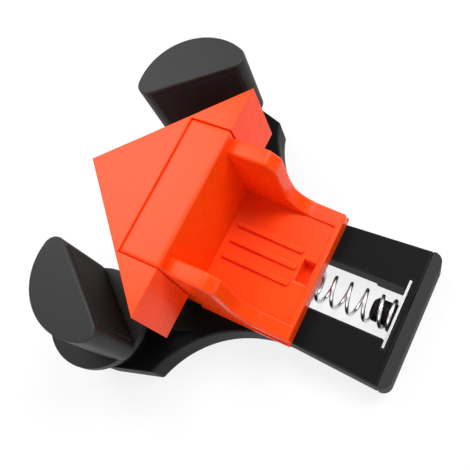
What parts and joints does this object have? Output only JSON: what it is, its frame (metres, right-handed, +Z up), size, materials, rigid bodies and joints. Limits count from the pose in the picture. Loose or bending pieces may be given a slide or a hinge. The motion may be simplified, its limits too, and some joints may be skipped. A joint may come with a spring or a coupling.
{
  "type": "spring corner clamp",
  "caption": "Spring corner clamp: a sliding right-angle block, pulled back by hand, presses boards against swivelling half-round jaws.",
  "frame": {"origin": "on the bench face, on the centre line, below the rear wall of the corner block at rest", "axes": "+X towards the tip of the corner block, +Y towards the left jaw, +Z up from the bench"},
  "size_m": [0.1018, 0.1106, 0.0505],
  "materials": {
    "black_plastic": "satin moulded nylon",
    "palm_rubber": "soft matte",
    "steel_plate": "rolled steel",
    "spring_steel": "bright drawn wire",
    "orange_plastic": "satin moulded plastic",
    "zinc_screw": "zinc plated",
    "jaw_plastic": "fine grained moulded plastic",
    "jaw_rubber": "soft matte",
    "slip_plastic": "natural acetal"
  },
  "bodies": {
    "base": {"base_frame": "black_plastic", "palm_pad": "palm_rubber", "stop_plate": "steel_plate", "spring_guide": "black_plastic", "coil_spring": "spring_steel", "left_slip_washer": "slip_plastic", "right_slip_washer": "slip_plastic"},
    "slider": {"slider": "orange_plastic", "corner_block": "orange_plastic", "block_screws": "zinc_screw", "keeper_plate": "steel_plate", "keeper_screws": "zinc_screw"},
    "left_jaw": {"left_jaw": "jaw_plastic", "left_jaw_pad": "jaw_rubber", "left_jaw_screw": "zinc_screw", "left_jaw_washer": "zinc_screw"},
    "right_jaw": {"right_jaw": "jaw_plastic", "right_jaw_pad": "jaw_rubber", "right_jaw_screw": "zinc_screw", "right_jaw_washer": "zinc_screw"}
  },
  "joints": [
    {"name": "slider_slide", "type": "slide", "parent": "base", "child": "slider", "axis": [-1, 0, 0], "range_m": [0, 0.016], "stiffness_N_per_m": 6000, "springref_m": -0.0035, "deforming": ["coil_spring"]},
    {"name": "left_jaw_swivel", "type": "hinge", "parent": "base", "child": "left_jaw", "pos_m": [0.0245, 0.0395, 0.022], "axis": [0, 0, 1], "range_deg": [-33, 17]},
    {"name": "right_jaw_swivel", "type": "hinge", "parent": "base", "child": "right_jaw", "pos_m": [0.0245, -0.0395, 0.022], "axis": [0, 0, 1], "range_deg": [-17, 33]}
  ]
}
